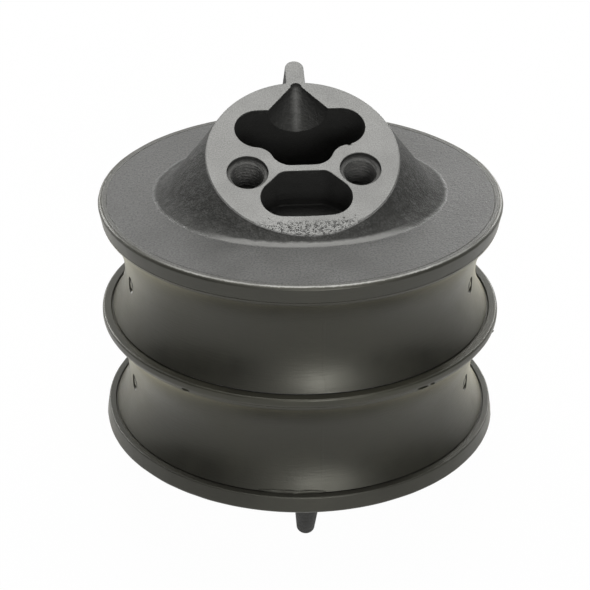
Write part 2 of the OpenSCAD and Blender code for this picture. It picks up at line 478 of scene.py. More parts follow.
class CastingSheet(ShaderSheet):
    """The material of an end casting, with the masks of its features.

    Each range says where a mask starts and ends, across, along or above the plate or the face, in metres.
    """

    sand_rise: float = 1.6 * MM
    flank_y: Pair = (-64 * MM, -40 * MM)
    head_z: Pair = (0.5 * MM, 1.2 * MM)
    machined_z: Pair = (-0.6 * MM, -0.3 * MM)
    inside_r: Pair = (FACE.radius - 1.6 * MM, FACE.radius - 0.8 * MM)
    cored_z: Pair = (-4.5 * MM, -1.2 * MM)
    hollow_z: Pair = (-7 * MM, -6 * MM)
    skirt_z: Pair = (1.6 * MM, 2.6 * MM)
    skirt_flank_z: Pair = (0.85 * MM, 1.8 * MM)
    toe_highlight_low_z: Pair = (0.02 * MM, 0.3 * MM)
    # where the painted highlight on the front of the toe starts and ends above the plate
    toe_highlight_high_z: Pair = (1.5 * MM, 2.4 * MM)
    pit_y: Pair = (-0.93 * FACE.radius, -0.8 * FACE.radius)
    # ragged edge, width and reach of the painted highlight down the chute
    chute_highlight_rise: float = 5 * MM
    chute_highlight_x: Pair = (1.6 * MM, 6.5 * MM)
    chute_highlight_y: Pair = (22 * MM, 40 * MM)
    chute_slope: float = 0.93
    chute_z: Pair = (-50 * MM, -49 * MM)
    bore_r: Pair = (FACE.entry_r + 0.1 * MM, FACE.entry_r + 0.4 * MM)

    def __init__(self, side: Side, skins: SkinGroups) -> None:
        """Makes the material, its coordinates and the masks that others build on.

        Args:
            side: the casting's end.
            skins: the shared node groups.
        """
        super().__init__(f"cast_iron_{side.value}")
        end = STACK.end_to_row(side)
        own, in_face = self.local(end), self.local(end @ FACE.to_end())
        self.skin = self.group(skins.sand, Vector=own, Grain=1.0)
        self.fine = self.group(skins.sand, Vector=in_face, Grain=1.7)
        _, rearward, self.up = self.split(own)
        self.across, self.along, self.rise = self.split(in_face)
        self.ragged = self.plus(self.up, self.times(self.skin["Height"], self.sand_rise))
        self.flank = self.ramp(rearward, *self.flank_y)
        self.machined = self.times(self.ramp(self.rise, *self.machined_z), self.ramp(self.up, *self.head_z))
        inside = self.fall(self.span(self.across, self.along), *self.inside_r)
        self.cored = self.times(self.fall(self.rise, *self.cored_z), inside, self.ramp(self.up, *self.hollow_z))

    def skirt(self) -> Socket:
        """Returns: a mask of the rough skirt, down to a ragged line that is lower at its flanks."""
        beside = self.times(self.ramp(self.ragged, *self.skirt_flank_z), self.flank)
        return self.maths("MAXIMUM", self.ramp(self.ragged, *self.skirt_z), beside)

    def toe_highlight_mask(self) -> Socket:
        """Returns: a mask of the front of the toe, where a pale painted highlight lies over the primer."""
        band = self.ramp(self.ragged, *self.toe_highlight_high_z, 0.75, 0.0)
        return self.times(self.ramp(self.up, *self.toe_highlight_low_z), band, self.fall(self.flank, 0.0, 1.0))

    def pitted(self) -> Socket:
        """Returns: a mask of the fine pits along the face's low edge."""
        return self.times(self.fall(self.along, *self.pit_y), self.ramp(self.fine["Height"], 0.4, 0.49, 0.9, 0.0))

    def chute_highlight(self) -> Socket:
        """Masks the painted highlight, a ragged pale line down the floor of the chute.

        Returns:
            The mask socket.
        """
        strip = self.plus(self.maths("ABSOLUTE", self.across), self.times(self.fine["Height"], self.chute_highlight_rise))
        over_floor = self.minus(self.rise, self.times(self.along, self.chute_slope))
        in_chute = self.times(self.ramp(over_floor, *self.chute_z), self.ramp(self.along, *self.chute_highlight_y))
        return self.times(self.fall(strip, *self.chute_highlight_x), in_chute, self.cored)

    def bores(self) -> Socket:
        """Masks the tapped holes below the face.

        Returns:
            The mask socket.
        """
        beside = self.minus(self.maths("ABSOLUTE", self.across), FACE.hole_spacing / 2)
        off_axis = self.span(beside, self.plus(self.along, FACE.hole_offset))
        return self.times(self.fall(off_axis, *self.bore_r), self.cored)


@dataclass(frozen=True)
class CastIronFinish:
    """Rough casting under thin dark primer, with the mounting face machined bare."""

    side: Side
    primer_level: float = 0.092
    bare_level: float = 0.135
    # painted shade: share of the primer's level that the rough skirt is darkened to
    skirt_shade_share: float = 0.1
    # painted highlight: the pale band along the front of the toe
    toe_highlight: Colour = grey(0.2, 0.03)
    # painted shade: the cored pockets and the chute are coloured far darker than the primer
    cored: Colour = grey(0.02, 0.02)
    # painted highlight down the floor of the chute
    chute_highlight: Colour = grey(0.12, 0.03)
    bore: Colour = grey(0.09, 0.03)
    pit: Colour = grey(0.045, 0.02)

    def build(self, skins: SkinGroups) -> bpy.types.Material:
        """Builds the material: the colours one over another, then the roughness and the relief.

        Args:
            skins: the shared node groups.

        Returns:
            The material.
        """
        sheet = CastingSheet(self.side, skins)
        skin, fine, machined = sheet.skin, sheet.fine, sheet.machined
        skirt, bores, pitted = sheet.skirt(), sheet.bores(), sheet.pitted()
        bare = sheet.blend(sheet.ramp(fine["Speck"], 0.36, 0.64), grey(self.bare_level * 0.74, 0.03),
                           grey(self.bare_level * 1.16, 0.02))
        # painted shade: the rough skirt is darkened, most where its grain is low
        skirt_shade = sheet.times(skirt, sheet.ramp(skin["Height"], 0.4, 0.7, 1.0, 0.55))
        colour = skins.primed(sheet, skin, self.primer_level)
        for mask, coat in (
            (skirt_shade, grey(self.primer_level * self.skirt_shade_share, 0.02)),
            (sheet.toe_highlight_mask(), self.toe_highlight),
            # painted shade inside the cored pockets and the chute
            (sheet.cored, self.cored),
            (sheet.chute_highlight(), self.chute_highlight),
            (bores, self.bore),
            (machined, sheet.blend(pitted, bare, self.pit)),
        ):
            colour = sheet.blend(mask, colour, coat)
        raw = sheet.maths("MAXIMUM", sheet.minus(skirt, machined, clamp=True), sheet.cored)
        raw = sheet.minus(raw, bores, clamp=True)
        rough = sheet.plus(sheet.ramp(skin["Patch"], 0.3, 0.7, 0.36, 0.46), sheet.times(raw, 0.34))
        height = sheet.times(skin["Height"], sheet.plus(sheet.times(skirt, 1.5), 0.7),
                             sheet.ramp(machined, 0.0, 1.0, 1.0, 0.15))
        height = sheet.minus(height, sheet.times(pitted, machined, 0.5))
        return sheet.finish(Base_Color=colour, Roughness=rough, Metallic=sheet.times(machined, 0.35),
                            Normal=sheet.bump(height, 0.7, 0.9 * MM), Specular_Tint=(1.0, 1.0, 0.93, 1.0))


@dataclass(frozen=True)
class RubberFinish:
    """Moulded rubber with a satin bloom and a faint joint line of the mould."""

    name: str = "moulded_rubber"
    level: float = 0.017
    warmth: float = 0.2
    roughness: float = 0.36
    bloom: float = 0.4

    def build(self, skins: SkinGroups) -> bpy.types.Material:
        """Builds the material.

        Args:
            skins: the shared node groups.

        Returns:
            The material.
        """
        sheet = ShaderSheet(self.name)
        skin = sheet.group(skins.moulded, Vector=sheet.local(STACK.turned(STACK.mould_turn)), Grain=1.0)
        colour = sheet.blend(sheet.ramp(skin["Patch"], 0.3, 0.7), grey(self.level * 0.8, self.warmth * 0.8),
                             grey(self.level * 1.25, self.warmth))
        rough = sheet.ramp(skin["Patch"], 0.25, 0.75, self.roughness - 0.05, self.roughness + 0.08)
        normal = sheet.bump(skin["Height"], 0.22, 0.35 * MM)
        normal = sheet.bump(skin["Streak"], 0.25, 0.25 * MM, Normal=normal)
        colour, normal = self.overspray(sheet, skins, colour, normal)
        aside = sheet.split(sheet.local(STACK.turned(STACK.joint_turn)))[0]
        joint = sheet.fall(sheet.maths("ABSOLUTE", aside), 0.1 * MM, 1.2 * MM)
        normal = sheet.bump(joint, 0.3, 0.12 * MM, Normal=normal)
        return sheet.finish(Base_Color=colour, Roughness=rough, Normal=normal, Specular_Tint=(1.0, 0.99, 0.86, 1.0),
                            Sheen_Weight=self.bloom, Sheen_Roughness=0.35, Sheen_Tint=(1.0, 0.94, 0.66, 1.0))

    def overspray(self, sheet: ShaderSheet, skins: SkinGroups, colour: Socket, normal: Socket) -> Coat:
        """Lets the finish lay something over the rubber; plain rubber has nothing.

        Args:
            sheet: the material's sheet.
            skins: the shared node groups.
            colour: the rubber's colour.
            normal: its relief.

        Returns:
            The colour and the normal with what lies on them.
        """
        return colour, normal


@dataclass(frozen=True)
class RimFinish(RubberFinish):
    """Rubber round an end plate, with the plate's primer over its top and a pale painted highlight along its edge in
    front.
    """

    side: Side = Side.UPPER
    primer_level: float = 0.092
    # painted highlight: the pale band along the rim's top edge, in front only
    edge_highlight: Colour = grey(0.34, 0.04)
    primed_r: Pair = (108.2 * MM, 108.5 * MM)
    edge_highlight_r: Pair = (109.4 * MM, 109.7 * MM)
    top_z: Pair = (-2.6 * MM, -2.0 * MM)
    front_y: Pair = (-104 * MM, -60 * MM)
    sand_rise: float = 1.6 * MM

    def overspray(self, sheet: ShaderSheet, skins: SkinGroups, colour: Socket, normal: Socket) -> Coat:
        """Lays the painted edge highlight and the primer over the rubber.

        Args:
            sheet: the material's sheet.
            skins: the shared node groups.
            colour: the rubber's colour.
            normal: its relief.

        Returns:
            The colour and the normal with both on them.
        """
        own = sheet.local(STACK.end_to_row(self.side))
        coat = sheet.group(skins.sand, Vector=own, Grain=1.0)
        x, y, z = sheet.split(own)
        reach = sheet.plus(sheet.span(x, y), sheet.times(coat["Height"], self.sand_rise))
        top = sheet.ramp(z, *self.top_z)
        front = sheet.times(sheet.fall(y, *self.front_y), top, sheet.ramp(coat["Patch"], 0.3, 0.55, 0.35, 1.0))
        # painted highlight: pale along the top edge, at the front only
        edge_highlight = sheet.times(sheet.fall(reach, *self.edge_highlight_r), front)
        primed = sheet.times(sheet.fall(reach, *self.primed_r), top)
        colour = sheet.blend(edge_highlight, colour, self.edge_highlight)
        colour = sheet.blend(primed, colour, skins.primed(sheet, coat, self.primer_level))
        return colour, sheet.bump(sheet.times(coat["Height"], primed, 0.7), 0.7, 0.9 * MM, Normal=normal)


@dataclass(frozen=True)
class SteelFinish:
    """Blasted mild steel of the interleaf, which the rubber hides."""

    def build(self) -> bpy.types.Material:
        """Builds the material.

        Returns:
            The material.
        """
        sheet = ShaderSheet("blasted_steel")
        grit = sheet.noise(sheet.local(STACK.to_row()), 1300.0, 3.0, 0.55)
        return sheet.finish(Base_Color=sheet.blend(grit, grey(0.2), grey(0.3)), Metallic=0.8, Roughness=0.6,
                            Normal=sheet.bump(grit, 0.4, 0.1 * MM))


# ------------------------------------------------------------------------------------------------ modelling


def deselect() -> None:
    """Leaves edit mode and selects nothing."""
    if bpy.context.object and bpy.context.object.mode != "OBJECT":
        bpy.ops.object.mode_set(mode="OBJECT")
    bpy.ops.object.select_all(action="DESELECT")


def activate(piece: Piece) -> None:
    """Makes a piece the only one selected, and active.

    Args:
        piece: the piece.
    """
    deselect()
    piece.select_set(True)
    bpy.context.view_layer.objects.active = piece


def edit(piece: Piece, mode: str = "VERT", action: str = "SELECT") -> None:
    """Opens a piece in edit mode, all selected or not.

    Args:
        piece: the piece.
        mode: what is selected by: VERT, EDGE or FACE.
        action: SELECT for all, or DESELECT for nothing.
    """
    activate(piece)
    bpy.ops.object.mode_set(mode="EDIT")
    bpy.ops.mesh.select_mode(type=mode)
    bpy.ops.mesh.select_all(action=action)


def added(name: str) -> Piece:
    """Returns: the primitive that was just added, with its name."""
    bpy.context.object.name = name
    return bpy.context.object


def place(piece: Piece, matrix: Matrix) -> Piece:
    """Moves a piece by a matrix and puts the move into its mesh.

    Args:
        piece: the piece.
        matrix: the move.

    Returns:
        The piece.
    """
    piece.matrix_world = matrix @ piece.matrix_world
    activate(piece)
    bpy.ops.object.transform_apply(location=True, rotation=True, scale=True)
    return piece


def join(pieces: Sequence[Piece]) -> Piece:
    """Joins pieces into the first one.

    Args:
        pieces: the pieces.

    Returns:
        The first piece.
    """
    activate(pieces[0])
    for piece in pieces[1:]:
        piece.select_set(True)
    bpy.ops.object.join()
    return pieces[0]


def copy_of(piece: Piece, name: str) -> Piece:
    """Copies a piece with its own mesh.

    Args:
        piece: the piece.
        name: the copy's name.

    Returns:
        The copy.
    """
    twin = piece.copy()
    twin.data = piece.data.copy()
    twin.name = name
    bpy.context.scene.collection.objects.link(twin)
    return twin


def trace(name: str, points: Sequence[Pair]) -> Piece:
    """Draws a chain of edges in the XZ plane, point by point, to be spun.

    Args:
        name: the new piece's name.
        points: radius and height of each point.

    Returns:
        The piece.
    """
    bpy.ops.mesh.primitive_plane_add(size=MM, location=(0, 0, 0))
    piece = added(name)
    edit(piece)
    bpy.ops.mesh.merge(type="CENTER")
    bpy.ops.transform.translate(value=(points[0][0], 0, points[0][1]))
    for (r0, z0), (r1, z1) in zip(points, points[1:]):
        bpy.ops.mesh.extrude_region_move(TRANSFORM_OT_translate={"value": (r1 - r0, 0, z1 - z0)})
    deselect()
    return piece


def spin(piece: Piece, steps: int = TURN_STEPS) -> Piece:
    """Spins a chain of edges once round Z into a closed skin.

    Args:
        piece: the chain.
        steps: how many steps the turn has.

    Returns:
        The piece.
    """
    edit(piece)
    bpy.ops.mesh.spin(steps=steps, angle=2 * math.pi, center=(0, 0, 0), axis=(0, 0, 1))
    tidy(piece)
    return piece


def tidy(piece: Piece, gap: float = 0.004 * MM) -> None:
    """Merges doubles and turns all faces outwards.

    Args:
        piece: the piece.
        gap: points nearer than this are merged.
    """
    edit(piece)
    bpy.ops.mesh.remove_doubles(threshold=gap)
    bpy.ops.mesh.normals_make_consistent(inside=False)
    deselect()


def loft(name: str, rings: Sequence[Sequence[Triple]]) -> Piece:
    """Raises a closed body through rings of equally many points.

    A disc is laid on the first ring; its face is then extruded once for each further ring and fitted to it.

    Args:
        name: the new piece's name.
        rings: the rings, from the lowest.

    Returns:
        The piece.
    """
    bpy.ops.mesh.primitive_circle_add(vertices=len(rings[0]), radius=MM, fill_type="NGON")
    piece = added(name)
    mesh = piece.data
    for vertex, point in zip(mesh.vertices, rings[0]):
        vertex.co = point
        vertex.select = True
    for low, high in zip(rings, rings[1:]):
        index = {tuple(round(c, 7) for c in Vector(point)): i for i, point in enumerate(low)}
        activate(piece)
        bpy.ops.object.mode_set(mode="EDIT")
        bpy.ops.mesh.select_mode(type="FACE")
        bpy.ops.mesh.extrude_region_move(TRANSFORM_OT_translate={"value": (0, 0, 0)})
        bpy.ops.object.mode_set(mode="OBJECT")
        for vertex in mesh.vertices:
            if vertex.select:
                vertex.co = high[index[tuple(round(c, 7) for c in vertex.co)]]
    tidy(piece)
    return piece


def cut(piece: Piece, tool: Piece, operation: str = "DIFFERENCE") -> None:
    """Cuts a piece with a tool, or joins the tool to it, and removes the tool.

    Args:
        piece: the piece.
        tool: the tool.
        operation: the Boolean's operation.
    """
    activate(piece)
    boolean = piece.modifiers.new("cut", "BOOLEAN")
    boolean.operation, boolean.solver, boolean.object = operation, "EXACT", tool
    bpy.ops.object.modifier_apply(modifier=boolean.name)
    bpy.data.objects.remove(tool, do_unlink=True)


def select_edges(piece: Piece, test: Callable[[Vector], bool], least: float) -> bool:
    """Opens a piece with the sharp edges selected whose ends both pass a test.

    Args:
        piece: the piece.
        test: what each end has to pass.
        least: the least angle between an edge's faces, in degrees.

    Returns:
        Whether there are any.
    """
    edit(piece, "EDGE", "DESELECT")
    bpy.ops.object.mode_set(mode="OBJECT")
    mesh = piece.data
    normals: dict[tuple[int, int], list[Vector]] = {}
    for polygon in mesh.polygons:
        for key in polygon.edge_keys:
            normals.setdefault(key, []).append(polygon.normal.copy())
    passed = [test(vertex.co) for vertex in mesh.vertices]
    for edge in mesh.edges:
        sides = normals.get(edge.key, [])
        if all(passed[end] for end in edge.vertices) and len(sides) == 2 and all(side.length > 0 for side in sides):
            edge.select = sides[0].angle(sides[1]) > math.radians(least)
    found = any(edge.select for edge in mesh.edges)
    bpy.ops.object.mode_set(mode="EDIT")
    return found


def bevel(piece: Piece, test: Callable[[Vector], bool], width: float, segments: int = 2, least: float = 30.0) -> None:
    """Rounds the sharp edges whose ends both pass a test.

    Args:
        piece: the piece.
        test: what each end has to pass.
        width: the bevel's width.
        segments: its segments.
        least: the least angle between an edge's faces, in degrees.
    """
    if select_edges(piece, test, least):
        bpy.ops.mesh.bevel(offset=width, segments=segments, profile=0.5, clamp_overlap=False)
    deselect()


def shade(piece: Piece, angle: float) -> None:
    """Shades a piece smooth except at sharp edges, with the flat faces kept flat.

    Args:
        piece: the piece.
        angle: edges sharper than this many degrees stay sharp.
    """
    activate(piece)
    bpy.ops.object.shade_smooth_by_angle(angle=math.radians(angle))
    weighted = piece.modifiers.new("flat_faces", "WEIGHTED_NORMAL")
    weighted.keep_sharp = True
    bpy.ops.object.modifier_apply(modifier=weighted.name)
    deselect()


def settle(piece: Piece, matrix: Matrix, material: bpy.types.Material, node: str, body: str | None,
           angle: float = 35.0) -> None:
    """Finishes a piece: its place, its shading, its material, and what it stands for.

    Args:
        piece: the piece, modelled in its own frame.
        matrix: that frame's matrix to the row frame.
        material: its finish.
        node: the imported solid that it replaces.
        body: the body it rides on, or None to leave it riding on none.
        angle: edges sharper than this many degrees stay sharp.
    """
    place(piece, matrix)
    shade(piece, angle)
    piece.data.materials.clear()
    piece.data.materials.append(material)
    for polygon in piece.data.polygons:
        polygon.material_index = 0
    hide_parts(node)
    if body is not None:
        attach(piece, body)
    log.info("%s: %d faces", piece.name, len(piece.data.polygons))


def arc(centre: Pair, radius: float, start: float, end: float, step: float = 6.0) -> list[Pair]:
    """Gives points along an arc.

    Args:
        centre: its centre.
        radius: its radius.
        start: its first angle in degrees.
        end: its last angle in degrees.
        step: the greatest angle between points.

    Returns:
        The points, both ends included.
    """
    count = max(2, math.ceil(abs(end - start) / step))
    angles = [math.radians(start + (end - start) * i / count) for i in range(count + 1)]
    return [(centre[0] + radius * math.cos(a), centre[1] + radius * math.sin(a)) for a in angles]


def round_z(radii: Sequence[float], z: float) -> list[Triple]:
    """Gives evenly turned points round Z at one height.

    Args:
        radii: the radius of each point.
        z: the height.

    Returns:
        The points.
    """
    angles = [2 * math.pi * j / len(radii) for j in range(len(radii))]
    return [(radius * math.cos(a), radius * math.sin(a), z) for radius, a in zip(radii, angles)]


def mirrored(half: Sequence[Pair]) -> list[Pair]:
    """Returns: an outline whose right half runs from the top down, closed by its mirror image."""
    return list(half) + [(-x, y) for x, y in reversed(half) if x > 1e-9]


def heading(run: Vector) -> float:
    """Returns: the direction of a flat vector, in degrees."""
    return math.degrees(math.atan2(run.y, run.x))


def flash_scrap(radius: float, z: float, turn: float, length: float, height: float) -> Piece:
    """Makes a thin torn scrap of flash that lies along a circle round Z.

    Args:
        radius: the circle's radius.
        z: the scrap's height.
        turn: where it stands round the circle, in degrees.
        length: its length along the circle.
        height: its thickness.

    Returns:
        The scrap.
    """
    bpy.ops.mesh.primitive_ico_sphere_add(subdivisions=4, radius=0.5)
    scrap, middle = added("flash_scrap"), math.radians(turn)
    for vertex in scrap.data.vertices:
        ragged = 1 + 0.5 * noise.noise(Vector((vertex.co.y * 9 + middle * 7, vertex.co.z, vertex.co.x * 2)))
        along = middle + vertex.co.y * length / radius
        out = radius + vertex.co.x * 1.6 * MM * ragged
        vertex.co = (out * math.cos(along), out * math.sin(along), z + vertex.co.z * height * ragged)
    return scrap


def wavy_ring(name: str, section: Sequence[Pair], beyond: float, waves: Sequence[Triple]) -> Piece:
    """Spins a closed section into a ring, and draws its outer side in by slight waves.

    Args:
        name: the new piece's name.
        section: radius and height of each corner.
        beyond: the radius beyond which the waves show.
        waves: the scale, the shift along Z and the depth in millimetres of each wave.

    Returns:
        The ring.
    """
    ring = spin(trace(name, [*section, section[0]]))
    for vertex in ring.data.vertices:
        flat = Vector((vertex.co.x, vertex.co.y, 0))
        if flat.length > beyond:
            wave = sum(noise.noise(flat * scale + Vector((0, 0, shift))) * depth for scale, shift, depth in waves)
            vertex.co -= flat.normalized() * (abs(wave) * MM)
    return ring


@dataclass
class EndCasting:
    """Cast end fitting: plate, raked head with cored pockets, tapped holes and locating tongue."""

    side: Side
    around: int = 144
    stock: float = 3 * MM
    front_batter: float = 4.4 * MM
    rear_batter: float = 33.8 * MM
    side_batter: float = 24 * MM
    toe_w: float = 9.5 * MM
    toe_sink: float = 0.5 * MM
    toe_steps: int = 10
    root: float = 1.5 * MM
    bend_share: float = 0.55
    flank_steps: int = 4
    rough_steps: range = range(3, 15)
    sand_waves: tuple[Pair, ...] = ((55.0, 0.45), (160.0, 0.3))
    edge_break: float = 0.38 * MM
    lip_r: float = 0.25 * MM
    chips: tuple[Triple, ...] = ((148, 14, 1.0), (38, 14, 1.0), (-150, 10, 0.6))
    chip_depth: float = 2.4 * MM
    tongue_reach: float = 15.6 * MM
    tongue_w: float = 10.2 * MM
    tongue_root_w: float = 10.8 * MM
    tongue_root: float = 0.6 * FACE.radius
    tongue_draft: float = math.radians(3)
    thread_r: float = 10 * MM
    thread_pitch: float = 2.5 * MM
    core_hole_r: float = 8.75 * MM
    entry_depth: float = 3 * MM
    hole_depth: float = 24 * MM
    hole_points: int = 48
    drill_half_angle: float = math.radians(59)
    floor_above_rubber: float = 5.4 * MM
    floor_r: float = 2 * MM
    lobe: Pair = (22.4 * MM, 19.7 * MM)
    lobe_r: float = 12.8 * MM
    throat_r: float = 10 * MM
    belly: Pair = (6 * MM, 5.1 * MM)
    belly_r: float = 11 * MM
    brow: Pair = (9.5 * MM, -16.4 * MM)
    brow_r: float = 6.5 * MM
    heel: Pair = (11.9 * MM, -27.3 * MM)
    heel_r: float = 12.3 * MM
    low_edge: float = -40 * MM
    chute_edge: float = 3.3 * MM
    chute_end_r: float = 3 * MM
    chute_half_angle: float = math.radians(40)
    chute_pitch: float = math.radians(5)
    tool_above: float = 5 * MM
    seed: int = 11
    pit_count: int = 63
    pit_zones: tuple[Pair, ...] = ((-0.2, 0.2), (0.06, 0.12), (0.32, 0.18))
    pit_sizes: tuple[float, ...] = (0.2, 0.28, 0.38, 0.55, 0.75)
    nick: Triple = (25.4 * MM, 7.2 * MM, 1.4 * MM)

    @property
    def name(self) -> str:
        """Returns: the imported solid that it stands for."""
        return f"{self.side.value}_casting"

    def foot_ellipse(self) -> Triple:
        """Lays out the skirt's foot on the plate.

        Returns:
            Its half widths across and along, and its centre's offset.
        """
        reach = FACE.radius * math.cos(FACE.tilt)
        front = FACE.forward + reach + self.front_batter
        rear = reach - FACE.forward + self.rear_batter
        return FACE.radius + self.side_batter, (front + rear) / 2, (rear - front) / 2

    def flank_points(self, angle: float) -> list[Vector]:
        """Gives the points up the head's flank, from under the plate over the curved toe to above the face.

        Args:
            angle: the angle round the head.

        Returns:
            The points.
        """
        half_x, half_y, offset = self.foot_ellipse()
        c, s = math.cos(angle), math.sin(angle)
        foot = Vector((half_x * c, offset + half_y * s, 0))
        outward = Vector((c / half_x, s / half_y, 0)).normalized()
        toe = foot + outward * self.toe_w - Vector((0, 0, self.toe_sink))
        rim = FACE.to_end() @ Vector((FACE.radius * c, FACE.radius * s, 0))
        bend = foot + (rim - foot) * min(self.bend_share, 1.1 * self.toe_w / (rim - foot).length)
        up, run = (rim - bend).normalized(), (rim - bend).length
        points = [toe - Vector((0, 0, self.root))]
        for i in range(self.toe_steps + 1):
            t = i / self.toe_steps
            points.append((1 - t) ** 2 * toe + 2 * t * (1 - t) * foot + t * t * bend)
        points += [bend + up * run * (i + 1) / (self.flank_steps + 1) for i in range(self.flank_steps)]
        points.append(rim + up * self.stock)
        return [self.roughened(p, outward) if i in self.rough_steps else p for i, p in enumerate(points)]

    def roughened(self, point: Vector, outward: Vector) -> Vector:
        """Moves a point of the flank in or out, as a sand mould leaves it.

        Args:
            point: the point.
            outward: the way out.

        Returns:
            The moved point.
        """
        wave = sum(noise.noise(point * scale) * depth for scale, depth in self.sand_waves)
        return point + outward * wave * MM

    def head(self) -> Piece:
        """Makes the head with stock above its face, and the tongue, and cuts both flat at the face.

        Returns:
            The head.
        """
        columns = [self.flank_points(2 * math.pi * j / self.around) for j in range(self.around)]
        head = loft("head_stock", [[tuple(point) for point in ring] for ring in zip(*columns)])
        cut(head, self.tongue(), "UNION")
        bpy.ops.mesh.primitive_cube_add(size=2 * STACK.plate_r, location=(0, 0, STACK.plate_r))
        cut(head, place(added("face_cutter"), FACE.to_end()))
        return head

    def tongue(self) -> Piece:
        """Makes the locating tongue, a rib with draft on its sides.

        Returns:
            The rib, from inside the plate to above the face.
        """
        drop = 2 * FACE.height + 40 * MM
        flare = math.tan(self.tongue_draft)
        posts = []
        tip = FACE.radius + self.tongue_reach - self.tongue_w / 2
        for y, width in ((tip, self.tongue_w), (self.tongue_root, self.tongue_root_w)):
            bpy.ops.mesh.primitive_cone_add(
                vertices=48, radius1=width / 2 + drop * flare, radius2=width / 2 - self.stock * flare,
                depth=drop + self.stock, location=(0, y, (self.stock - drop) / 2))
            posts.append(place(added("tongue_rib"), Matrix.Identity(4)))
        rib = join(posts)
        edit(rib)
        bpy.ops.mesh.convex_hull()
        place(rib, FACE.to_end())
        edit(rib)
        bpy.ops.mesh.bisect(plane_co=(0, 0, -2 * MM), plane_no=(0, 0, -1), use_fill=True, clear_outer=True)
        tidy(rib)
        return rib

    def plate(self) -> Piece:
        """Makes the round plate, with the rebates under and over its edge that the rim's rubber fills.

        Returns:
            The plate.
        """
        low, metal, seam = -STACK.end_plate_t, STACK.metal_r, STACK.seam_w
        plate = spin(trace("plate_disc", [
            (0, low), (STACK.core_r, low), (STACK.core_r, STACK.skin_t + low), (metal, STACK.skin_t + low),
            (metal, -seam), (metal - seam, -seam), (metal - seam, -self.lip_r), (metal - seam - self.lip_r, 0),
            (metal * 0.9, 0), (0, 0)]))
        for vertex in plate.data.vertices:
            flat = Vector((vertex.co.x, vertex.co.y, 0))
            if vertex.co.z > -0.01 * MM and flat.length > metal - 3 * MM:
                vertex.co -= flat.normalized() * self.chipped(flat)
        return plate

    def chipped(self, flat: Vector) -> float:
        """Gives how far the plate's upper edge is chipped back beside the seam.

        Args:
            flat: a point of the edge.

        Returns:
            The depth of the chip in metres.
        """
        turn = heading(flat)
        window = sum(share * max(0.0, 1 - abs(turn - middle) / reach) for middle, reach, share in self.chips)
        return window * max(0.0, 0.4 + noise.noise(flat * 260.0) * 1.8) * self.chip_depth

    def rear_outline(self) -> list[Pair]:
        """Draws the rear pocket's outline: two lobes, hollow throats and a belly.

        Returns:
            The points.
        """
        lobe, belly = Vector(self.lobe), Vector(self.belly)
        gap = lobe - belly
        near, far = self.belly_r + self.throat_r, self.lobe_r + self.throat_r
        along = (near**2 - far**2 + gap.length_squared) / (2 * gap.length)
        aside = math.sqrt(near**2 - along**2)
        u = gap.normalized()
        throat = belly + along * u + aside * Vector((u.y, -u.x))
        at_lobe, at_belly = heading(lobe - throat), heading(belly - throat)
        half = [(0.0, self.lobe[1] + self.lobe_r)]
        half += arc(self.lobe, self.lobe_r, 90, at_lobe - 180)
        half += arc(tuple(throat), self.throat_r, at_lobe, at_belly)[1:]
        half += arc(self.belly, self.belly_r, at_belly - 180, -90)[1:]
        return mirrored(half)

    def front_outline(self) -> list[Pair]:
        """Draws the front pocket's outline: wide heels on a bowed low edge, narrowing straight to a brow.

        Returns:
            The points.
        """
        run = Vector(self.heel) - Vector(self.brow)
        side = math.degrees(math.atan2(run.y, run.x) + math.acos((self.brow_r - self.heel_r) / run.length))
        drop = self.heel[1] - self.low_edge
        bow = (self.heel[0] ** 2 + drop**2 - self.heel_r**2) / (2 * (drop - self.heel_r))
        centre = (0.0, self.low_edge + bow)
        meet = math.degrees(math.atan2(self.heel[1] - centre[1], self.heel[0]))
        half = arc(self.brow, self.brow_r, 90, side) + arc(self.heel, self.heel_r, side, meet)
        half += arc(centre, bow, meet, -90, 1.5)[1:]
        return mirrored(half)

    def pocket_tool(self, outline: Sequence[Pair]) -> Piece:
        """Makes the tool that cores a pocket, down to a rounded floor parallel to the plate.

        Args:
            outline: the pocket's outline on the face.

        Returns:
            The tool, in the casting's frame.
        """
        c, s = math.cos(FACE.tilt), math.sin(FACE.tilt)
        clear = FACE.height + STACK.end_plate_t - self.floor_above_rubber
        low = [(x, y, -(clear + y * s) / c) for x, y in outline]
        tool = loft("pocket_tool", [low, [(x, y, self.tool_above) for x, y in outline]])
        bevel(tool, lambda p: p.z < -self.tool_above, self.floor_r, 3, 40)
        return place(tool, FACE.to_end())

    def chute_tool(self) -> Piece:
        """Makes the tool for the conical chute with its rounded narrow end.

        Returns:
            The tool, in the casting's frame.
        """
        start = FACE.radius - self.chute_edge
        run = start - self.lobe[1] - self.lobe_r + 4 * MM
        wide_r = self.chute_end_r + run * math.tan(self.chute_half_angle)
        bpy.ops.mesh.primitive_cone_add(
            vertices=96, radius1=self.chute_end_r, radius2=wide_r, depth=run, location=(0, 0, run / 2))
        tool = added("chute_tool")
        bpy.ops.mesh.primitive_uv_sphere_add(segments=64, ring_count=24, radius=self.chute_end_r * 0.998)
        bulge = added("chute_end")
        bulge.scale = (1, 1, 0.25)
        cut(tool, place(bulge, Matrix.Identity(4)), "UNION")
        turn = Matrix.Translation((0, start, 0)) @ Matrix.Rotation(math.pi / 2 + self.chute_pitch, 4, "X")
        return place(tool, FACE.to_end() @ turn)

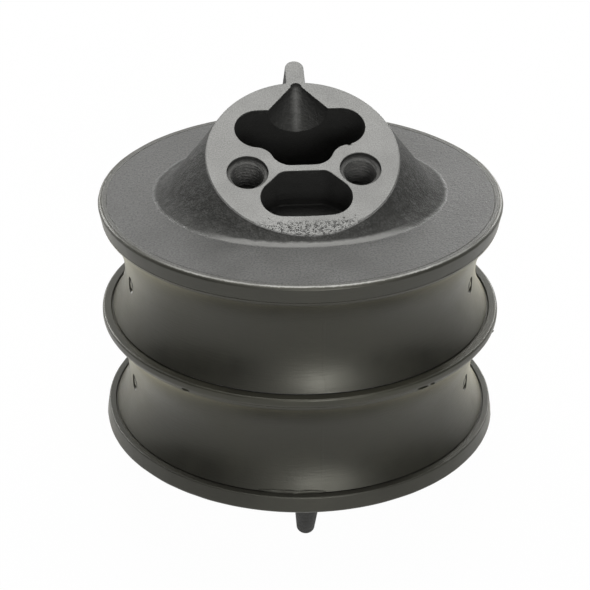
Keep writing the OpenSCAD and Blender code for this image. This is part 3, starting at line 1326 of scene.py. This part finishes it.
    def hole_tool(self, x: float) -> Piece:
        """Makes the tool for one tapped hole: plain entry, thread and drill point.

        Args:
            x: where the hole stands across the face.

        Returns:
            The tool, in the casting's frame.
        """
        pitch, count = self.thread_pitch, self.hole_points
        point_z = -self.hole_depth - self.core_hole_r / math.tan(self.drill_half_angle)
        tip = round_z([0.5 * MM] * count, point_z)
        levels = [self.thread_ring(-self.hole_depth + i * pitch / 8)
                  for i in range(int((self.hole_depth - self.entry_depth) / pitch * 8) + 1)]
        entry = [round_z([FACE.entry_r] * count, z) for z in (-self.entry_depth, self.tool_above)]
        tool = loft("hole_tool", [tip] + levels + entry)
        return place(tool, FACE.to_end() @ Matrix.Translation((x, -FACE.hole_offset, 0)))

    def thread_ring(self, z: float) -> list[Triple]:
        """Gives one ring of the threaded bore, whose groove climbs one pitch a turn and fades in at the bottom.

        Args:
            z: its height.

        Returns:
            The points.
        """
        radii = []
        for j in range(self.hole_points):
            phase = (z / self.thread_pitch - j / self.hole_points) % 1.0
            groove = min(1.0, max(0.0, 1.25 - abs(phase - 0.5) * 3.2))
            fade = min(1.0, (z + self.hole_depth) / self.thread_pitch)
            radii.append(self.core_hole_r + (self.thread_r - self.core_hole_r) * groove * fade)
        return round_z(radii, z)

    def pits(self, draw: random.Random) -> list[Triple]:
        """Scatters pits near the face's low edge, none touching another, after the nick beside the right lobe.

        Args:
            draw: the source of chance.

        Returns:
            Place across and along the face, and size, of each.
        """
        pits = [self.nick]
        for _ in range(900):
            middle, width = draw.choice(self.pit_zones)
            spread = draw.gauss(middle, width)
            radius = FACE.radius - draw.uniform(0.0, 6.0) * MM
            size = draw.choice(self.pit_sizes) * draw.uniform(0.8, 1.2) * MM
            x, y = radius * math.sin(spread), -radius * math.cos(spread)
            if len(pits) <= self.pit_count and all(
                    math.hypot(x - px, y - py) > (size + ps) * 1.35 for px, py, ps in pits):
                pits.append((x, y, size))
        return pits

    def pit_tool(self) -> Piece:
        """Makes the tool for the pits: flattened, ragged balls.

        Returns:
            The tool, in the casting's frame.
        """
        draw = random.Random(self.seed)
        tools = []
        for x, y, size in self.pits(draw):
            bpy.ops.mesh.primitive_ico_sphere_add(subdivisions=3, radius=size, location=(x, y, 0.35 * size))
            tool = added("pit_tool")
            tool.scale = (draw.uniform(0.8, 1.15), draw.uniform(0.7, 1.05), 0.8)
            place(tool, Matrix.Identity(4))
            middle = Vector((x, y, 0))
            for vertex in tool.data.vertices:
                out = vertex.co - middle
                ragged = 1 + 0.35 * noise.noise(out * (1.2 / size) + middle * 900)
                vertex.co = middle + Vector((out.x * ragged, out.y * ragged, out.z))
            tools.append(tool)
        return place(join(tools), FACE.to_end())

    def build(self) -> Piece:
        """Builds the casting: plate, head, pockets, chute, tapped holes, broken edges and pits.

        Returns:
            The casting in its own frame.
        """
        casting = self.plate()
        casting.name = f"{self.name}_detailed"
        cut(casting, self.head(), "UNION")
        half = FACE.hole_spacing / 2
        for tool in (self.pocket_tool(self.rear_outline()), self.pocket_tool(self.front_outline()),
                     self.chute_tool(), self.hole_tool(-half), self.hole_tool(half)):
            cut(casting, tool)
        tidy(casting, 0.02 * MM)
        back = FACE.to_end().inverted()
        bevel(casting, lambda p: abs((back @ p).z) < 0.01 * MM, self.edge_break)
        cut(casting, self.pit_tool())
        tidy(casting, 0.01 * MM)
        return casting

    def dress(self, casting: Piece, material: bpy.types.Material) -> None:
        """Finishes the casting in place of its solid.

        Args:
            casting: the casting in its own frame.
            material: its finish.
        """
        settle(casting, STACK.end_to_row(self.side), material, self.name, f"{self.side.value}_end")


@dataclass
class RimCover:
    """Rubber moulded round the edge of an end plate, drawn in towards its layer.

    The upper rim runs out into its layer. The lower one ends in a rounded corner, with a crease groove at the
    layer's foot and a long scrap of flash in the groove's front.
    """

    side: Side
    taper: float = 1.2 * MM
    edge_r: float = 1.9 * MM
    corner_r: float = 0.9 * MM
    groove_depth: float = 0.7 * MM
    groove_w: float = 0.6 * MM
    groove_lip_w: float = 1.1 * MM
    overlap: float = 0.1 * MM
    waves: tuple[Triple, ...] = ((38.0, 0, 0.3), (140.0, 0, 0.14))

    def outline(self) -> list[Pair]:
        """Draws the closed section of the ring.

        Returns:
            Radius and height of each corner.
        """
        s, low = STACK, -STACK.end_plate_t
        if self.side is Side.UPPER:
            points = [(s.core_r, low), (s.layer_top_r - 0.3 * MM, low), (s.layer_top_r, low + 0.2 * MM)]
        else:
            floor, corner = low + self.groove_depth, s.plate_r - self.taper - self.corner_r
            points = [(s.core_r, floor), (s.crease_r + self.groove_w, floor), (s.crease_r + self.groove_lip_w, low),
                      (corner, low)]
            points += arc((corner, low + self.corner_r), self.corner_r, -90, -8, 20)
        points += arc((s.plate_r - self.edge_r - 0.1 * MM, -self.edge_r), self.edge_r, 4, 90, 12)
        inner, ledge = s.metal_r - s.seam_w + self.overlap, self.overlap - s.seam_w
        points += [(inner + 0.2 * MM, 0), (inner, -0.2 * MM), (inner, ledge), (s.metal_r, ledge),
                   (s.metal_r, s.skin_t + low), (s.core_r, s.skin_t + low)]
        return points

    def build(self) -> Piece:
        """Builds the ring.

        Returns:
            The ring in the end's frame.
        """
        ring = wavy_ring(f"{self.side.value}_rim_moulding", self.outline(), STACK.metal_r + 1 * MM, self.waves)
        if self.side is Side.LOWER:
            in_groove = STACK.crease_r + 0.5 * MM
            ring = join([ring, flash_scrap(in_groove, -STACK.end_plate_t - 0.5 * MM, 97, 36 * MM, 2.4 * MM)])
        return ring

    def dress(self, ring: Piece, material: bpy.types.Material) -> None:
        """Finishes the ring in place of its solid.

        Args:
            ring: the ring in the end's frame.
            material: its finish.
        """
        end = self.side.value
        settle(ring, STACK.end_to_row(self.side), material, f"{end}_rim_cover", f"{end}_end", 40)


@dataclass
class InterleafCover:
    """Rubber round the edge of the interleaf: a groove over its upper side, a taper and flash at its lower."""

    edge_r: float = 3 * MM
    groove_depth: float = 0.9 * MM
    groove_w: float = 0.7 * MM
    groove_lip_w: float = 1.3 * MM
    skin_t: float = 0.5 * MM
    waves: tuple[Triple, ...] = ((45.0, 3, 0.25),)
    scraps: tuple[Pair, ...] = ((-59, 7), (-55.5, 3), (-128, 5), (-20, 4), (60, 6), (140, 5))
    scrap_t: float = 0.55 * MM

    def outline(self) -> list[Pair]:
        """Draws the closed section of the ring.

        Returns:
            Radius and height of each corner.
        """
        s, half, corner = STACK, STACK.interleaf_t / 2, STACK.interleaf_t / 4.5
        floor = half - self.groove_depth
        points = [(s.core_r, -half)]
        points += arc((s.plate_r - self.edge_r, 2.6 * MM - half), self.edge_r, -60, 0, 12)
        points += arc((s.plate_r - corner, half - corner), corner, 0, 90, 18)
        return points + [(s.crease_r + self.groove_lip_w, half), (s.crease_r + self.groove_w, floor),
                         (s.crease_r, floor), (s.core_r, floor), (s.core_r, floor - self.skin_t)]

    def build(self) -> Piece:
        """Builds the ring.

        Returns:
            The ring in the stack's frame.
        """
        ring = wavy_ring("interleaf_moulding", self.outline(), STACK.plate_r - 2 * MM, self.waves)
        edge, z = STACK.plate_r - 0.9 * MM, 0.35 * MM - STACK.interleaf_t / 2
        scraps = [flash_scrap(edge, z, turn, length * MM, self.scrap_t) for turn, length in self.scraps]
        return join([ring] + scraps)

    def dress(self, ring: Piece, material: bpy.types.Material) -> None:
        """Finishes the ring in place of its solid.

        Args:
            ring: the ring in the stack's frame.
            material: its finish.
        """
        settle(ring, STACK.to_row(), material, "interleaf_cover", "interleaf", 40)


@dataclass
class RubberLayer:
    """One waisted layer of rubber between two plates, with the marks of the mould's pins."""

    name: str
    foot_z: float
    lower_body: str
    upper_body: str
    arc_points: int = 40
    pin_angles: tuple[float, ...] = (-85.5, -71.0, 71.0, 85.5)
    pin_r: float = 4.8 * MM
    pin_depth: float = 1.0 * MM

    def waist(self) -> Pair:
        """Fits the bow of the flank through the foot, the waist and the top.

        Returns:
            The waist's height above the foot, and the radius of its bow.
        """
        foot, top = STACK.crease_r - STACK.waist_r, STACK.layer_top_r - STACK.waist_r
        height = STACK.rubber_h * math.sqrt(foot) / (math.sqrt(foot) + math.sqrt(top))
        return height, (height**2 + foot**2) / (2 * foot)

    def outline(self) -> list[Pair]:
        """Draws the section from the axis at the foot, over the waist, to the axis at the top.

        Returns:
            Radius and height of each point.
        """
        s = STACK
        height, bow = self.waist()
        points = [(0.0, 0.0), (s.crease_r * 0.95, 0.0)]
        for i in range(self.arc_points + 1):
            z = s.rubber_h * i / self.arc_points
            points.append((min(s.waist_r + bow - math.sqrt(bow**2 - (z - height) ** 2), s.layer_top_r), z))
        return points + [(s.layer_top_r * 0.95, s.rubber_h), (0.0, s.rubber_h)]

    def pin_tool(self, angle: float) -> Piece:
        """Makes the tool for one pin mark, a shallow ring round a raised centre.

        Args:
            angle: where the mark stands, in degrees from the mould's front joint.

        Returns:
            The tool.
        """
        r = self.pin_r
        tool = spin(trace("pin_tool", [(0, 0.8 * MM), (0.4 * r, 0.7 * MM), (0.7 * r, 0), (0.85 * r, 0.1 * MM),
                                       (r, 1.2 * MM), (r, 16 * MM), (0, 16 * MM)]), 40)
        turn = Matrix.Rotation(math.radians(angle - 90) + STACK.mould_turn, 4, "Z")
        at = Matrix.Translation((STACK.waist_r - self.pin_depth, 0, self.waist()[0]))
        return place(tool, turn @ at @ Matrix.Rotation(math.pi / 2, 4, "Y"))

    def build(self) -> Piece:
        """Builds the layer.

        Returns:
            The layer, standing on z = 0.
        """
        layer = spin(trace(f"{self.name}_moulding", self.outline()))
        for angle in self.pin_angles:
            cut(layer, self.pin_tool(angle))
        tidy(layer, 0.01 * MM)
        return layer

    def dress(self, layer: Piece, material: bpy.types.Material) -> None:
        """Places the layer between the two plates that it is bonded to, in place of its solid; it rides on neither
        plate's body.

        Args:
            layer: the modelled layer.
            material: its finish.
        """
        frame = STACK.to_row()
        settle(layer, frame @ Matrix.Translation((0, 0, self.foot_z)), material, self.name, None)
        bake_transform(layer)


@dataclass(frozen=True)
class Lamp:
    """A soft rectangular lamp that faces the stack, with its place in the stack's frame, its size and its watts."""

    name: str
    at: Triple
    size: Pair
    power: float

    def hang(self) -> None:
        """Adds the lamp to the scene."""
        data = bpy.data.lights.new(self.name, "AREA")
        data.shape, data.size, data.size_y, data.energy = "RECTANGLE", self.size[0], self.size[1], self.power
        lamp = bpy.data.objects.new(self.name, data)
        at, aim = STACK.to_row() @ Vector(self.at), STACK.to_row() @ Vector((0, 0, 40 * MM))
        lamp.location = at
        lamp.rotation_mode = "QUATERNION"
        lamp.rotation_quaternion = (aim - at).to_track_quat("-Z", "Y")
        bpy.context.scene.collection.objects.link(lamp)


@dataclass
class Studio:
    """Camera, lamps, room and floor. The lamps and the room stand round the stack as it is seen upright."""

    camera_at: Triple = (-0.0856027, -0.582735, 0.9806174)
    camera_turn: Triple = (34.959269, -2.364713, -4.282293)
    lens: float = 118.14
    lamps: tuple[Lamp, ...] = (
        Lamp("overhead_softbox", (0.0, 0.0, 1.1), (0.8, 0.9), 10.0),
        Lamp("front_softbox", (0.14, -1.05, 0.32), (0.32, 0.35), 4.3),
        Lamp("left_softbox", (-0.7, 1.05, 0.3), (0.5, 0.8), 15.0),
        Lamp("right_softbox", (0.7, 1.05, 0.3), (0.5, 0.8), 15.0),
    )
    ambient: float = 0.2
    wall_share: float = 0.6
    mirrored_wall: float = 0.15
    wall_x: Pair = (0.3, 0.75)
    wall_y: Pair = (0.62, 0.3)
    wall_z: Pair = (-0.35, 0.0)
    floor_z: float = -0.0182
    floor_size: float = 6.0
    floor_glow: float = 0.98

    def place_camera(self) -> None:
        """Adds the camera and makes it the scene's."""
        data = bpy.data.cameras.new("camera")
        data.sensor_width, data.lens = 36.0, self.lens
        data.clip_start, data.clip_end = 0.05, 20.0
        camera = bpy.data.objects.new("camera", data)
        camera.location = self.camera_at
        camera.rotation_euler = [math.radians(a) for a in self.camera_turn]
        bpy.context.scene.collection.objects.link(camera)
        bpy.context.scene.camera = camera

    def light(self) -> None:
        """Hangs the lamps and makes the world: white to the camera, a dim room, and a brighter one in gloss."""
        for lamp in self.lamps:
            lamp.hang()
        world = bpy.data.worlds.new("studio_world")
        bpy.context.scene.world = world
        world.use_nodes = True
        sheet = NodeSheet(world.node_tree)
        sheet.tree.nodes.clear()
        room, mirrored_room, white = (sheet.add("ShaderNodeBackground", Color=colour).outputs[0] for colour in (
            self.room_colour(sheet, self.ambient, self.ambient * self.wall_share),
            self.room_colour(sheet, 1.0, self.mirrored_wall), WHITE))
        path = sheet.add("ShaderNodeLightPath").outputs
        glossy = sheet.add("ShaderNodeMixShader", path["Is Glossy Ray"], room, mirrored_room).outputs[0]
        seen = sheet.add("ShaderNodeMixShader", path["Is Camera Ray"], glossy, white).outputs[0]
        sheet.add("ShaderNodeOutputWorld", seen)

    def room_colour(self, sheet: NodeSheet, backdrop: float, walls: float) -> Socket:
        """Gives the room's brightness by direction: a pale backdrop and ceiling between two darker side walls.

        Args:
            sheet: the world's sheet.
            backdrop: brightness of the backdrop, the ceiling and the front.
            walls: brightness of the side walls.

        Returns:
            The brightness socket.
        """
        coord = sheet.add("ShaderNodeTexCoord").outputs["Generated"]
        upright = sheet.add("ShaderNodeMapping", vector_type="VECTOR", Vector=coord, Rotation=(STACK.tilt, 0, 0))
        x, y, z = sheet.split(upright.outputs["Vector"])
        mask = sheet.times(sheet.ramp(sheet.maths("ABSOLUTE", x), *self.wall_x), sheet.ramp(y, *self.wall_y),
                           sheet.ramp(z, *self.wall_z))
        return sheet.add("ShaderNodeMapRange", mask, To_Min=backdrop, To_Max=walls).outputs["Result"]

    def lay_floor(self) -> None:
        """Lays the pale floor, which glows white to the camera and in gloss."""
        bpy.ops.mesh.primitive_grid_add(x_subdivisions=8, y_subdivisions=8, size=self.floor_size, location=(0, 0, 0))
        floor = place(added("studio_floor"), Matrix.Translation((0, 0, self.floor_z)))
        sheet = ShaderSheet("pale_floor")
        sheet.finish(Base_Color=(0.9, 0.9, 0.9, 1.0), Roughness=0.9)
        glow = sheet.add("ShaderNodeEmission", Color=WHITE).outputs[0]
        path = sheet.add("ShaderNodeLightPath").outputs
        seen = sheet.maths("ADD", path["Is Camera Ray"], path["Is Glossy Ray"], clamp=True)
        mix = sheet.add("ShaderNodeMixShader", sheet.times(seen, self.floor_glow), sheet.shader.outputs[0], glow)
        sheet.feed(sheet.tree.nodes["Material Output"].inputs["Surface"], mix.outputs[0])
        floor.data.materials.append(sheet.material)
        deselect()


def dress_node(frame: dict, node: str, material: bpy.types.Material) -> None:
    """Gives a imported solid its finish.

    Args:
        node: the solid's name.
        material: its finish.
    """
    piece = frame["nodes"][node]
    if not piece.data.materials:
        piece.data.materials.append(material)
    for slot in piece.material_slots:
        slot.material = material
    log.info("dressed %s", node)


def main() -> None:
    """Builds the scene."""
    logging.basicConfig(level=logging.INFO, format="%(message)s")
    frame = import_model()
    deselect()
    studio = Studio()
    studio.place_camera()
    studio.light()
    studio.lay_floor()

    skins = SkinGroups()
    upper, lower = EndCasting(Side.UPPER), EndCasting(Side.LOWER)
    casting = upper.build()
    twin = copy_of(casting, f"{lower.name}_detailed")
    upper.dress(casting, CastIronFinish(Side.UPPER).build(skins))
    # painted shade: the lower casting, which faces down, gets a darker primer than the upper one
    lower.dress(twin, CastIronFinish(Side.LOWER, primer_level=0.04).build(skins))

    for side in Side:
        cover = RimCover(side)
        finish = RimFinish(f"{side.value}_rim_rubber", 0.022, warmth=0.16, roughness=0.4, bloom=0.1, side=side)
        cover.dress(cover.build(), finish.build(skins))
    middle = InterleafCover()
    finish = RubberFinish("interleaf_rim_rubber", 0.025, warmth=0.25, roughness=0.38, bloom=0.08)
    middle.dress(middle.build(), finish.build(skins))
    dress_node(frame, "interleaf_plate", SteelFinish().build())

    rubber = RubberFinish().build(skins)
    for layer in (
        RubberLayer("lower_rubber", STACK.end_plate_t - STACK.half_h, "lower_end", "interleaf"),
        RubberLayer("upper_rubber", STACK.interleaf_t / 2, "interleaf", "upper_end"),
    ):
        layer.dress(layer.build(), rubber)

    bpy.context.scene.view_settings.view_transform = "Standard"


if __name__ == "__main__":
    main()
